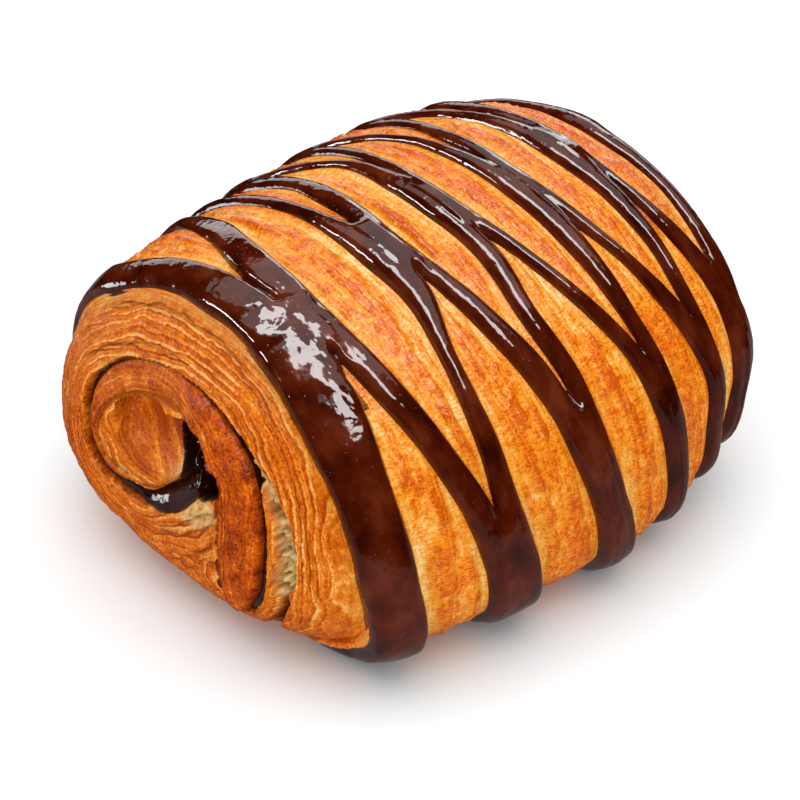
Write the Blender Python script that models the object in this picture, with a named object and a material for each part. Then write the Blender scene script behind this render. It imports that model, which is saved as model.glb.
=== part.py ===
"""A pain au chocolat: a rolled laminated pastry under a zigzag of dark chocolate.

Lengths are in millimetres and angles in degrees until a mesh is made, in metres, +Z up.
The roll lies along X on the table, and the spiral end that shows best is at -X. An angle
goes round the roll from the front at -Y, 0, over the crest, 90, to the back, 180.
"""
import math

import bmesh
import bpy
from mathutils import Vector, noise

MM = 0.001

# Roll
LENGTH = 91.0
WIDTH = 80.0
AXIS_HEIGHT = 20.5
CREST_RISE = 34.5
BELLY_DROP = 21.5
CREST_POWER = 2.0
BELLY_POWER = 3.2
END_BELLY_POWER = 2.3
TAPER = 0.149
NEAR_END = (7.0, 3.1)
FAR_END = (2.0, 4.6)
RINGS = 54
SIDES = 56
RIDGE_HEIGHT = 0.45
TRIM_RINGS = 24
TRIM_SIDES = 40

# Spiral ends, in (y, z)
FACE_GIRTH = 0.86
SWIRL_CENTRE = (4.0, 29.0)
LAYER_STEP = 0.8
CORE_CENTRE = (8.5, 28.5)
CORE_SIZE = (9.5, 7.0)
CORE_DISH = 1.6
SEAM = ((-14.0, 8.5), (-17.4, 13.5), (-18.8, 19.5), (-18.8, 26.5), (-16.8, 33.5), (-11.5, 39.0),
        (-4.0, 42.0), (5.0, 41.8), (13.5, 38.2), (19.3, 31.8), (20.9, 25.0), (18.8, 19.0),
        (12.5, 16.9), (5.5, 17.6), (0.5, 20.3), (-3.6, 24.2), (-5.8, 27.5))
SEAM_THICKNESS = 0.9
POOL_THICKNESS = 2.4
POOL_START = 0.78
HOLE = ((-0.9, 33.6), (-3.9, 34.7), (-6.4, 32.4), (-8.8, 30.4), (-9.0, 27.3), (-7.0, 25.8),
        (-4.7, 26.0), (-2.6, 28.2), (-1.3, 31.0))
HOLE_DEPTH = 5.0
CREVICE = ((-12.0, 39.9), (-17.0, 36.4), (-21.0, 32.4), (-23.9, 28.0), (-24.8, 22.8), (-24.0, 18.0),
           (-22.0, 14.5), (-20.4, 17.5), (-21.0, 22.0), (-20.6, 27.0), (-18.8, 31.5), (-15.5, 35.6))
CREVICE_DEPTH = 3.0
GAP = 0.3
END_SINK = 0.9
SLIVER = 0.008

# Drizzle: where each stroke lies along the roll at these angles, and how wide it is there
STATIONS = (213, 140, 110, 78, 45, 12, -33)
STROKES = (
    ((-33.0, -34.5, -34.5, -34.2, -35.2, -35.2, -32.6), (8.0, 5.2, 5.0, 6.0, 7.2, 7.6, 8.6)),
    ((-14.0, -19.5, -24.8, -28.2, -26.3, -20.3, -13.5), (5.6, 4.0, 4.4, 5.4, 4.6, 4.6, 6.0)),
    ((-12.6, -16.5, -14.0, -13.3, -15.0, -16.0, -11.0), (5.6, 3.6, 2.9, 3.9, 3.3, 4.2, 6.0)),
    ((-0.5, -7.5, -8.3, -10.1, -6.2, -1.2, 7.2), (5.4, 4.0, 3.5, 3.7, 2.9, 3.8, 5.4)),
    ((1.5, -5.5, -1.8, -0.7, -0.2, 1.6, 9.4), (5.4, 3.2, 2.3, 3.2, 3.0, 4.0, 5.4)),
    ((11.5, 4.0, 2.5, 2.0, 7.7, 14.4, 20.6), (5.0, 3.2, 3.0, 3.2, 2.5, 3.4, 4.8)),
    ((13.0, 5.5, 9.7, 11.9, 14.0, 16.0, 22.2), (5.0, 3.0, 2.4, 3.0, 2.5, 3.4, 4.8)),
    ((23.5, 15.5, 15.0, 14.5, 19.7, 25.4, 30.6), (4.8, 3.2, 3.0, 3.0, 2.3, 3.2, 4.4)),
    ((25.0, 17.0, 21.0, 23.6, 25.5, 27.0, 32.0), (4.8, 3.0, 2.8, 3.2, 2.6, 3.2, 4.4)),
    ((33.0, 27.5, 26.5, 26.3, 31.0, 34.0, 36.6), (4.6, 3.2, 3.2, 3.2, 2.4, 3.4, 4.2)),
    ((36.0, 31.5, 37.0, 36.9, 35.6, 35.8, 38.0), (4.6, 3.6, 4.6, 4.4, 3.2, 3.8, 4.2)),
)
STROKE_PROFILE = ((-0.56, -0.9), (-0.40, 0.62), (0.0, 1.0), (0.40, 0.62), (0.56, -0.9),
                  (0.30, -1.0), (-0.30, -1.0))
STROKE_HEIGHT = 1.4
STROKE_ROOT = 1.5
STROKE_STEP = 9.0
TABLE_CLEARANCE = 0.35

CRUST = ("crust", (0.72, 0.31, 0.07), 0.35)
CHOCOLATE = ("chocolate", (0.055, 0.018, 0.011), 0.18)


def clear_scene():
    """Remove what the file holds."""
    for item in list(bpy.data.objects):
        bpy.data.objects.remove(item)


def make_material(name, colour, roughness):
    """A plain finish of one colour."""
    material = bpy.data.materials.new(name)
    material.use_nodes = True
    shader = material.node_tree.nodes["Principled BSDF"]
    shader.inputs["Base Color"].default_value = (*colour, 1.0)
    shader.inputs["Roughness"].default_value = roughness
    shader.inputs["Metallic"].default_value = 0.0
    return material


def make_object(name, points, faces):
    """A mesh object from points in millimetres, with its faces turned outwards."""
    mesh = bpy.data.meshes.new(name)
    mesh.from_pydata([[value * MM for value in point] for point in points], [], faces)
    tidy = bmesh.new()
    tidy.from_mesh(mesh)
    bmesh.ops.recalc_face_normals(tidy, faces=tidy.faces)
    tidy.to_mesh(mesh)
    tidy.free()
    item = bpy.data.objects.new(name, mesh)
    bpy.context.scene.collection.objects.link(item)
    return item


def smooth_between(places, values, place):
    """A smooth curve through the values at the given places, read at one place."""
    if places[0] > places[-1]:
        places, values = places[::-1], values[::-1]
    place = min(max(place, places[0]), places[-1])
    index = max(i for i in range(len(places) - 1) if places[i] <= place)
    share = (place - places[index]) / (places[index + 1] - places[index])
    before = values[max(index - 1, 0)]
    start, end = values[index], values[index + 1]
    after = values[min(index + 2, len(values) - 1)]
    bend = 3 * start - before - 3 * end + after
    return start + share / 2 * (end - before + share * (2 * before - 5 * start + 4 * end - after
                                                        + share * bend))


def ring_faces(rings, sides):
    """The four-sided faces between rings of points that follow each other."""
    faces = []
    for ring in range(rings - 1):
        for side in range(sides):
            after = (side + 1) % sides
            low, high = ring * sides, (ring + 1) * sides
            faces.append((low + side, low + after, high + after, high + side))
    return faces


def girth_at(x, inset=0.0):
    """Share of the full section that the roll keeps at x: it rounds off at both ends."""
    reach = min(abs(x) / (LENGTH / 2 - inset), 1.0)
    fall, bulge = NEAR_END if x < 0 else FAR_END
    return (1 - reach ** fall) ** (1 / bulge) * (1 + TAPER * x / LENGTH)


def section_radius(x, angle):
    """Distance from the roll's axis to its crust at full girth."""
    across, up = math.cos(angle), math.sin(angle)
    reach = min(abs(x) / (LENGTH / 2), 1.0)
    belly = BELLY_POWER + (END_BELLY_POWER - BELLY_POWER) * reach ** 4
    height, power = (CREST_RISE, CREST_POWER) if up >= 0 else (BELLY_DROP, belly)
    total = abs(across / (WIDTH / 2)) ** power + abs(up / height) ** power
    return total ** (-1 / power)


def skin(x, angle, lift=0.0):
    """A point of the smooth crust at x and an angle, raised by lift off the axis."""
    radius = section_radius(x, angle) * girth_at(x) + lift
    return Vector((x, -radius * math.cos(angle), AXIS_HEIGHT + radius * math.sin(angle)))


def end_reach(y, z, side, inset=0.0):
    """How far along X the rounded end reaches at (y, z); side is -1 or 1."""
    up = z - AXIS_HEIGHT
    height, power = (CREST_RISE, CREST_POWER) if up >= 0 else (BELLY_DROP, END_BELLY_POWER)
    girth = (abs(y / (WIDTH / 2)) ** power + abs(up / height) ** power) ** (1 / power)
    girth /= 1 + side * TAPER / 2
    fall, bulge = NEAR_END if side < 0 else FAR_END
    return side * (LENGTH / 2 - inset) * (1 - min(girth, 1.0) ** bulge) ** (1 / fall)


def profile_stations(count, inset=0.0):
    """Places along X, evenly spaced along the roll's profile from end to end."""
    fine = 600
    places = []
    for step in range(-fine, fine + 1):
        share = step / fine
        places.append(math.copysign(1 - (1 - abs(share)) ** 4, share) * (LENGTH / 2 - inset))
    lengths = [0.0]
    for before, after in zip(places, places[1:]):
        drop = (girth_at(after, inset) - girth_at(before, inset)) * WIDTH / 2
        lengths.append(lengths[-1] + math.hypot(after - before, drop))
    stations = []
    for index in range(1, count + 1):
        wanted = lengths[-1] * index / (count + 1)
        nearest = max(i for i, length in enumerate(lengths) if length <= wanted)
        stations.append(places[nearest])
    return stations


def layer_depth(ring, y, z):
    """How deep the end sinks at (y, z): steps between the layers and a dish in the core."""
    wander = 0.6 + 0.4 * noise.noise(Vector((y, z, 0)) * 0.12)
    core = math.hypot((y - CORE_CENTRE[0]) / CORE_SIZE[0], (z - CORE_CENTRE[1]) / CORE_SIZE[1])
    return LAYER_STEP * (ring % 2) * wander + CORE_DISH * max(0.0, 1 - core ** 2)


def ridge_lift(x, angle):
    """How high the crust's ridges, which run round the roll, stand at x and an angle."""
    place = Vector((x * 0.45, 1.2 * math.cos(angle), 1.2 * math.sin(angle)))
    return RIDGE_HEIGHT * noise.noise(place)


def roll_point(x, angle, ring):
    """A point of the roll's surface on one ring; on the end faces the rings centre on the swirl."""
    girth = girth_at(x)
    if girth >= FACE_GIRTH or abs(x) < LENGTH / 4:
        point = skin(x, angle, ridge_lift(x, angle))
        return (point.x, point.y, max(point.z, 0.0))
    radius = section_radius(x, angle) * girth
    shift = 1 - girth / FACE_GIRTH
    y = -radius * math.cos(angle) + shift * SWIRL_CENTRE[0]
    z = max(AXIS_HEIGHT + radius * math.sin(angle) + shift * (SWIRL_CENTRE[1] - AXIS_HEIGHT), 0.0)
    side = math.copysign(1, x)
    return (end_reach(y, z, side) - side * layer_depth(ring, y, z) * min(1.0, 6 * shift), y, z)


def make_roll():
    """The dough: a plump roll with a flat foot, ridged crust and layered ends."""
    stations = profile_stations(RINGS)
    points = []
    for ring, x in enumerate(stations):
        for side in range(SIDES):
            points.append(roll_point(x, 2 * math.pi * side / SIDES, ring))
    faces = ring_faces(RINGS, SIDES)
    for ring, side in ((0, -1), (RINGS - 1, 1)):
        y, z = SWIRL_CENTRE
        points.append((end_reach(y, z, side) - side * layer_depth(0, y, z), y, z))
        start = ring * SIDES
        for index in range(SIDES):
            faces.append((start + index, start + (index + 1) % SIDES, len(points) - 1))
    return make_object("pastry", points, faces)


def make_end_trim(inset):
    """A smooth copy of the roll with both ends set back, which trims what runs through it."""
    points = []
    for x in profile_stations(TRIM_RINGS, inset):
        for side in range(TRIM_SIDES):
            angle = 2 * math.pi * side / TRIM_SIDES
            radius = section_radius(x, angle) * girth_at(x, inset)
            points.append((x, -radius * math.cos(angle), AXIS_HEIGHT + radius * math.sin(angle)))
    faces = ring_faces(TRIM_RINGS, TRIM_SIDES)
    faces.append(tuple(range(TRIM_SIDES)))
    faces.append(tuple(range((TRIM_RINGS - 1) * TRIM_SIDES, TRIM_RINGS * TRIM_SIDES)))
    return make_object("end_trim", points, faces)


def grow(outline, margin):
    """The same closed outline, moved outwards by a margin."""
    area = sum(a[0] * b[1] - b[0] * a[1] for a, b in zip(outline, outline[1:] + outline[:1]))
    grown = []
    for index, place in enumerate(outline):
        before, after = outline[index - 1], outline[(index + 1) % len(outline)]
        along = Vector((after[0] - before[0], after[1] - before[1])).normalized()
        out = Vector((along.y, -along.x)) * math.copysign(margin, area)
        grown.append((place[0] + out.x, place[1] + out.y))
    return grown


def seam_outline(margin):
    """The outline of the chocolate layer in the spiral, thin outside and thick at the pool."""
    places = list(range(len(SEAM)))
    steps = 3 * (len(SEAM) - 1)
    line = []
    for step in range(steps + 1):
        place = step / 3
        line.append(Vector((smooth_between(places, [p[0] for p in SEAM], place),
                            smooth_between(places, [p[1] for p in SEAM], place))))
    left, right = [], []
    for index, point in enumerate(line):
        along = (line[min(index + 1, steps)] - line[max(index - 1, 0)]).normalized()
        swell = max(0.0, index / steps - POOL_START) / (1 - POOL_START)
        half = (SEAM_THICKNESS + (POOL_THICKNESS - SEAM_THICKNESS) * swell) / 2 + margin
        if index == 0:
            point = point - along * margin
        across = Vector((-along.y, along.x)) * half
        left.append(tuple(point + across))
        right.append(tuple(point - across))
    return left + right[::-1]


def make_prism(name, outline, start, end):
    """A closed outline in (y, z), drawn out along X."""
    count = len(outline)
    points = [(x, y, z) for x in (start, end) for y, z in outline]
    faces = [tuple(range(count)), tuple(range(count, 2 * count))]
    for index in range(count):
        after = (index + 1) % count
        faces.append((index, after, count + after, count + index))
    return make_object(name, points, faces)


def join_with(target, operation, others, solver="EXACT"):
    """Apply one Boolean of a target with other objects, which are then removed."""
    group = bpy.data.collections.new("boolean")
    bpy.context.scene.collection.children.link(group)
    for other in others:
        group.objects.link(other)
    step = target.modifiers.new("boolean", "BOOLEAN")
    step.operation = operation
    step.solver = solver
    step.operand_type = "COLLECTION"
    step.collection = group
    bpy.context.view_layer.update()
    evaluated = target.evaluated_get(bpy.context.evaluated_depsgraph_get())
    mesh = bpy.data.meshes.new_from_object(evaluated)
    target.modifiers.clear()
    target.data = mesh
    for other in others:
        bpy.data.objects.remove(other)
    bpy.data.collections.remove(group)
    return target


def drop_slivers(item):
    """Close up the needle-thin faces that a Boolean leaves."""
    tidy = bmesh.new()
    tidy.from_mesh(item.data)
    bmesh.ops.remove_doubles(tidy, verts=tidy.verts, dist=SLIVER * MM)
    bmesh.ops.dissolve_degenerate(tidy, edges=tidy.edges, dist=SLIVER * MM)
    bmesh.ops.triangulate(tidy, faces=tidy.faces)
    tidy.to_mesh(item.data)
    tidy.free()


def make_filling_shape(name, margin, baton_end):
    """The chocolate layer that follows the spiral, with the baton at its inner end."""
    sheet = make_prism(name, seam_outline(margin), -LENGTH, LENGTH)
    baton = make_prism("baton", grow(list(HOLE), margin), -baton_end, baton_end)
    return join_with(sheet, "UNION", [baton])


def make_filling():
    """The filling as it lies in the dough, its layer cut just below both end faces."""
    filling = make_filling_shape("chocolate_filling", 0.0, LENGTH / 2 - HOLE_DEPTH)
    return join_with(filling, "INTERSECT", [make_end_trim(END_SINK)])


def make_crevice(side):
    """The open gap between the layers at one end face."""
    depth = min(abs(end_reach(y, z, side)) for y, z in CREVICE) - CREVICE_DEPTH
    return make_prism("crevice", list(CREVICE), side * depth, side * LENGTH)


def make_stroke(centres, widths):
    """One stroke of chocolate, from the back of the roll over its crest to the front."""
    count = round((STATIONS[0] - STATIONS[-1]) / STROKE_STEP)
    points = []
    for step in range(count + 1):
        degrees = STATIONS[0] + (STATIONS[-1] - STATIONS[0]) * step / count
        angle = math.radians(degrees)
        centre = smooth_between(STATIONS, centres, degrees)
        width = smooth_between(STATIONS, widths, degrees)
        for across, share in STROKE_PROFILE:
            lift = share * (STROKE_HEIGHT if share > 0 else STROKE_ROOT)
            point = skin(centre + across * width, angle, lift)
            points.append((point.x, point.y, max(point.z, TABLE_CLEARANCE)))
    size = len(STROKE_PROFILE)
    faces = ring_faces(count + 1, size)
    faces.append(tuple(range(size)))
    faces.append(tuple(range(count * size, (count + 1) * size)))
    return make_object("stroke", points, faces)


def make_pastry():
    """The roll with its spiral opened for the filling and the drizzle fused on."""
    roll = make_roll()
    slot = make_filling_shape("slot", GAP, LENGTH)
    join_with(roll, "DIFFERENCE", [slot])
    join_with(roll, "DIFFERENCE", [make_crevice(-1), make_crevice(1)])
    return join_with(roll, "UNION", [make_stroke(*stroke) for stroke in STROKES], "MANIFOLD")


def main():
    """Build both pieces and give each its finish."""
    clear_scene()
    for item, finish in ((make_pastry(), CRUST), (make_filling(), CHOCOLATE)):
        drop_slivers(item)
        item.data.materials.clear()
        item.data.materials.append(make_material(*finish))


main()
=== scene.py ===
"""The looks of the pain au chocolat: ridged crust, layered ends, glossy drizzle and filling.

Lengths are in millimetres and angles in degrees until a mesh is made. The shapes follow the
same named sizes as the solids that they replace. An angle goes round the roll from the front
at -Y, 0, over the crest, 90, to the back, 180.
"""
import math
from types import SimpleNamespace

import bpy
import numpy as np
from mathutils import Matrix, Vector


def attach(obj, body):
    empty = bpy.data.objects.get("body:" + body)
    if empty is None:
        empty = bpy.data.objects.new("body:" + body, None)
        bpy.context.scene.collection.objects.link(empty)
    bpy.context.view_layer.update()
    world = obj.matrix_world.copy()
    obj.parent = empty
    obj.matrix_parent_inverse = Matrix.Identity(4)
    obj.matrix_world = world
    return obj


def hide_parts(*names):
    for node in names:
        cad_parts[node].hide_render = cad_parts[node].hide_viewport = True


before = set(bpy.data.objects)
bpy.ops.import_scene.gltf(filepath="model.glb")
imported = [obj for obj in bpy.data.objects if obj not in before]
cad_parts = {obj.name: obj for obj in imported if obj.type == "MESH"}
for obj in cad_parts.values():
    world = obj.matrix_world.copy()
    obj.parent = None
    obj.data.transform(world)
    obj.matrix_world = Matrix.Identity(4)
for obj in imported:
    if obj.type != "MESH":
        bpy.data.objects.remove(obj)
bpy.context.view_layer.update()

MM = 0.001

# Roll
LENGTH = 91.0
HALF = LENGTH / 2
WIDTH = 80.0
AXIS_HEIGHT = 20.5
CREST_RISE = 34.5
BELLY_DROP = 21.5
CREST_POWER = 2.0
BELLY_POWER = 3.2
END_BELLY_POWER = 2.3
TAPER = 0.149
NEAR_END = (7.0, 3.1)
FAR_END = (2.0, 4.6)
GIRTH_RADIUS = 38.0
FRONT_TUCK = 0.045

# Spiral ends, in (y, z); a blister's third number is its size
FACE_GIRTH = 0.86
SWIRL_CENTRE = (4.0, 29.0)
SEAM = ((-14.0, 8.5), (-17.4, 13.5), (-18.8, 19.5), (-18.8, 26.5), (-16.8, 33.5), (-11.5, 39.0),
        (-4.0, 42.0), (5.0, 41.8), (13.5, 38.2), (19.3, 31.8), (20.9, 25.0), (18.8, 19.0),
        (12.5, 16.9), (5.5, 17.6), (0.5, 20.3), (-3.6, 24.2), (-5.8, 27.5))
LIP = ((0.8, 24.0), (4.0, 21.4), (8.5, 19.7), (13.5, 18.9), (17.0, 20.0), (18.2, 23.0),
       (17.3, 27.0), (15.0, 30.6), (11.6, 33.6), (8.0, 35.6), (4.5, 36.8), (1.0, 37.2), (-1.8, 36.0),
       (-5.5, 33.8), (-7.6, 31.0), (-9.6, 30.0), (-9.8, 26.5), (-9.8, 21.0), (-9.6, 16.0),
       (-9.4, 11.0), (-9.4, 5.0))
HOLE = ((1.6, 35.2), (-1.8, 36.0), (-5.0, 35.4), (-7.2, 33.4), (-8.4, 31.5), (-9.9, 31.0), (-10.2, 27.8),
        (-6.6, 25.4), (-2.6, 26.6), (0.2, 27.3), (2.0, 29.0), (2.9, 31.6))
TORN_LIP = ((13.6, 28.4), (11.2, 30.4), (8.6, 32.3), (4.6, 34.5), (1.2, 36.0), (-1.2, 36.6))
NOTCH = ((-22.6, 15.5), (-20.8, 12.0), (-19.0, 9.0), (-16.6, 6.2), (-13.5, 3.4))
FILLING_MIDDLE = SEAM[:11] + ((18.8, 19.2), (14.0, 17.5), (9.0, 18.1), (5.0, 18.7), (2.0, 20.3),
                              (-0.8, 22.6), (-3.4, 25.3), (-5.6, 27.4))
FILLING_HALVES = (0.45, 0.60, 0.60, 0.55, 0.50, 0.50, 0.22, 0.16, 0.18, 0.40, 0.36, 0.42, 0.55, 0.80,
                  1.15, 1.65, 1.95, 1.70, 1.50)
FILLING_SINK = 1.15
BATON_SINK = 2.4
BATON_SHARES = (0.02, 1.08)
FILLING_LINE = [(*middle, half) for middle, half in zip(FILLING_MIDDLE, FILLING_HALVES)]
CREVICE = ((-12.0, 39.9), (-17.0, 36.4), (-21.0, 32.4), (-23.9, 28.0), (-24.8, 22.8), (-24.0, 18.0),
           (-22.0, 14.5), (-20.4, 17.5), (-21.0, 22.0), (-20.6, 27.0), (-18.8, 31.5), (-15.5, 35.6))
CORE = ((-1.8, 26.6),) + LIP[:12] + ((-1.6, 36.0), (-1.2, 31.0))
FUNNEL_EYE = (0.3, 31.0)
FUNNEL_MIDDLE = (8.2, 28.2)
FUNNEL_REACH = (10.4, 9.0)
FOLDS = (((5.5, 21.0), (9.0, 20.0), (13.5, 19.2), (17.0, 20.3), (18.6, 23.0)),
         ((26.0, 18.5), (20.0, 13.8), (13.0, 12.6), (6.0, 14.0), (0.0, 17.0), (-5.0, 21.0),
          (-9.5, 25.0)),
         ((24.0, 10.0), (16.0, 9.3), (8.0, 10.3), (1.0, 10.8), (-4.5, 14.5), (-9.3, 19.5)),
         ((11.0, 4.0), (4.0, 6.5), (-3.0, 11.0), (-8.5, 16.5)),
         ((4.0, 14.3), (-1.0, 16.0), (-5.5, 19.3), (-9.4, 22.5)),
         ((24.0, 33.0), (18.0, 38.0), (12.0, 41.6), (6.0, 44.0), (0.0, 44.4), (-6.0, 43.6),
          (-12.0, 41.3)),
         ((23.0, 41.0), (16.0, 45.0), (8.0, 48.0), (0.0, 48.8), (-8.0, 47.4), (-16.0, 43.0),
          (-21.5, 37.5), (-25.5, 30.0), (-27.0, 22.0), (-27.0, 13.0)),
         ((-10.9, 31.0), (-12.0, 26.0), (-12.1, 20.0), (-11.2, 14.0), (-9.8, 7.0)),
         ((-4.0, 38.5), (-9.0, 37.0), (-13.3, 33.0), (-15.6, 27.0), (-15.9, 21.0), (-14.6, 14.0)))
FOLD_DROPS = (0.5, 0.7, 0.8, 0.6, 0.6, 0.45, 0.5, 0.4, 0.3)
BLISTERS = ((-14.6, 18.4, 0.8), (-13.3, 21.3, 0.5), (-13.6, 15.6, 0.45), (-16.0, 20.6, 0.4),
            (-6.0, 39.8, 0.4), (-1.5, 40.6, 0.35), (5.0, 39.4, 0.35), (-14.0, 29.6, 0.4),
            (11.5, 36.2, 0.35), (-11.0, 11.5, 0.5))
WRAP_THICKNESS = 12.0

# Drizzle: where each stroke's two edges lie along the roll at these angles
STATIONS = (213, 140, 112, 94, 78, 62, 45, 28, 12, -5, -33)
STROKES = (
    ((-31.5, -37.1, -37.0, -37.1, -37.5, -38.3, -39.2, -39.4, -39.3, -38.1, -34.5),
     (-24.5, -31.9, -31.5, -31.0, -30.2, -29.4, -30.6, -31.9, -31.7, -30.2, -26.5)),
    ((-16.8, -21.5, -26.6, -30.0, -30.4, -30.0, -28.6, -25.9, -22.7, -19.3, -15.8),
     (-11.2, -18.0, -21.9, -24.7, -25.5, -25.3, -23.9, -21.5, -18.2, -15.0, -10.5)),
    ((-15.4, -15.5, -15.2, -15.3, -15.8, -15.4, -16.6, -17.6, -17.8, -17.0, -13.0),
     (-9.8, -12.8, -12.9, -12.4, -10.4, -10.7, -13.8, -14.1, -13.4, -10.5, -6.0)),
    ((-3.2, -9.2, -9.7, -11.2, -11.8, -9.9, -8.1, -5.3, -2.5, 0.9, 5.0),
     (2.2, -5.5, -6.5, -7.4, -8.2, -6.9, -3.9, -0.9, 2.0, 5.0, 10.0)),
    ((-1.2, -6.3, -1.4, -1.7, -1.7, -1.4, -2.1, -0.5, -0.5, 2.0, 6.5),
     (4.2, -4.2, 0.5, 1.3, 2.0, 2.3, 1.4, 2.7, 4.1, 7.2, 12.4)),
    ((9.0, 3.0, 1.9, 0.8, 0.6, 3.2, 6.7, 11.0, 13.6, 15.8, 18.0),
     (14.0, 5.6, 4.0, 3.2, 3.6, 5.6, 9.4, 13.9, 16.8, 19.0, 22.5)),
    ((10.5, 4.0, 8.4, 9.8, 10.5, 11.5, 12.4, 14.1, 15.0, 17.0, 20.5),
     (15.5, 6.4, 10.1, 12.2, 13.6, 15.3, 15.8, 16.9, 18.6, 20.5, 23.2)),
    ((21.1, 14.4, 13.5, 12.8, 13.2, 15.4, 18.9, 22.3, 25.4, 26.4, 28.0),
     (25.9, 17.2, 15.7, 15.5, 15.9, 17.9, 21.2, 25.6, 28.4, 29.8, 32.0)),
    ((22.8, 15.5, 20.4, 22.0, 22.8, 24.4, 25.3, 25.8, 26.5, 27.0, 29.8),
     (27.3, 18.3, 22.6, 25.4, 26.8, 27.7, 27.7, 28.0, 29.3, 30.0, 32.5)),
    ((30.7, 26.6, 24.4, 25.4, 26.0, 28.2, 30.2, 33.3, 33.9, 33.8, 33.6),
     (35.3, 29.6, 27.2, 27.9, 28.5, 29.8, 33.2, 36.5, 37.0, 37.0, 37.5)),
    ((33.7, 31.0, 34.3, 34.0, 35.0, 36.8, 36.8, 36.5, 36.0, 35.5, 35.5),
     (38.3, 34.2, 38.4, 38.7, 38.9, 39.6, 40.0, 40.3, 40.0, 39.0, 39.0)),
)
STROKE_ENDS = (-42, 222)
STROKE_GRID = (-46, 228)
STROKE_HEIGHT = 1.8
STROKE_TOP = 2.6
STROKE_FLOOR = -0.85
STROKE_ROOT = -1.6
STROKE_SHOULDER = 1.9
STROKE_ROWS = 270
TABLE_GAP = 0.05
EDGE_STEPS = (0.22, 0.42, 0.60, 0.76, 0.90, 1.0, 1.14, 1.3)
BLEND = 0.12

# Mesh detail, and where the ends' meshes meet the side's
JOIN_NEAR = -34.8
JOIN_FAR = 38.5
CREST_SIDES = 290
FOOT_SIDES = 30
FOOT_ANGLE = -36.0
NEAR_RINGS = 262
FAR_RINGS = 170
SIDE_RINGS = 290
FILLING_STEPS = 340
FILLING_SIDES = 21
BATON_RINGS = 34

# Colours: ramps of a place and the colour there, and plain ones
GOLD = ((0.10, (0.62, 0.085, 0.001)), (0.34, (0.84, 0.19, 0.004)), (0.54, (0.91, 0.30, 0.012)),
        (0.74, (0.94, 0.43, 0.066)), (0.98, (1.0, 0.68, 0.30)))
TOASTED = ((0.08, (0.20, 0.020, 0.001)), (0.34, (0.44, 0.058, 0.001)), (0.56, (0.62, 0.100, 0.001)),
           (0.78, (0.86, 0.21, 0.006)), (1.0, (0.98, 0.44, 0.06)))
CRUMB = ((0.0, (0.28, 0.12, 0.025)), (0.35, (0.60, 0.36, 0.12)), (0.8, (0.84, 0.60, 0.26)))
CHOCOLATE = ((0.30, (0.024, 0.0020, 0.0004)), (0.50, (0.064, 0.0064, 0.0009)),
             (0.70, (0.112, 0.0175, 0.0045)))
# Near black, painted as shade under folds, in the hole, the notch and the crumb's holes, and as the
# chocolate in the seam's groove
SHADE_AND_CHOCOLATE_DARK = (0.020, 0.004, 0.001)
PALE_DOTS = (0.34, 0.13, 0.055)
# Near black that the filling's colour is painted towards, as shade
CHOCOLATE_IN_SHADE = (0.006, 0.0010, 0.0006)
TABLE_WHITE = (0.93, 0.97, 0.985)
TO_MM = (1000.0, 1000.0, 1000.0)

# Table and lamps: a lamp's place and size are in metres and its power in watts
TABLE_RADIUS = 3000.0
TABLE_SIDES = 96
LIGHTING_LAMPS = (("key", (-0.10, -0.12, 1.0), (1.2, 1.2), 6.7),
                  ("front_fill", (-0.55, -0.75, 0.50), (0.7, 0.7), 1.2))
# The side card is low at the left, and its glint shows on the pool of chocolate
MIRRORED_LAMPS = (("softbox", (-0.05, -0.15, 0.67), (0.22, 0.78), 6.2),
                  ("ceiling", (0.36, 0.26, 0.90), (1.3, 1.3), 5.8),
                  ("left_panel", (-0.72, 0.50, 0.20), (0.30, 0.14), 3.2),
                  ("side_card", (-0.080, 0.124, 0.017), (0.050, 0.026), 0.024),
                  ("backdrop", (0.62, 0.62, 0.16), (1.1, 0.36), 2.0),
                  ("right_panel", (0.68, 0.50, 0.36), (0.30, 0.30), 1.0),
                  ("table_glow", (0.0, 0.0, -0.004), (0.24, 0.24), 0.032))
LEVEL_LAMPS = ("key", "softbox", "ceiling")
LAMP_TARGET = (0.0, 0.0001, 0.02)
SURROUNDINGS_GREY = 0.80

# Camera
CAMERA_RISE = 36.0
CAMERA_TURN = -41.92
CAMERA_DISTANCE = 700.0
CAMERA_LENS = 211.3
CAMERA_SENSOR = 36.0
CAMERA_CLIP = 0.01
AIM = Vector((0.0, 0.0, 24.0))
AIM_RIGHT = -1.01
AIM_UP = -5.37


def lattice(i, j, k, seed):
    """A repeatable random number from -1 to 1 for each whole-numbered place."""
    mixed = i * 374761393 + j * 668265263 + k * 2147483647 + seed * 974634777
    mixed = (mixed ^ (mixed >> 13)) * 1274126177
    mixed = mixed ^ (mixed >> 16)
    return (mixed & 0xFFFFF) / 0x7FFFF - 1.0


def noise(a, b, c=0.0, seed=0):
    """Smooth noise from -1 to 1 over arrays of places."""
    a, b, c = np.broadcast_arrays(*(np.asarray(v, float) for v in (a, b, c)))
    whole = [np.floor(v).astype(np.int64) for v in (a, b, c)]
    part = [v - w for v, w in zip((a, b, c), whole)]
    eased = [p * p * (3 - 2 * p) for p in part]
    total = np.zeros(a.shape)
    for i in (0, 1):
        for j in (0, 1):
            for k in (0, 1):
                weight = ((eased[0] if i else 1 - eased[0]) * (eased[1] if j else 1 - eased[1])
                          * (eased[2] if k else 1 - eased[2]))
                total += weight * lattice(whole[0] + i, whole[1] + j, whole[2] + k, seed)
    return total


def ease(low, high, value):
    """A smooth step from 0 at low to 1 at high."""
    share = np.clip((value - low) / (high - low), 0.0, 1.0)
    return share * share * (3 - 2 * share)


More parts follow.
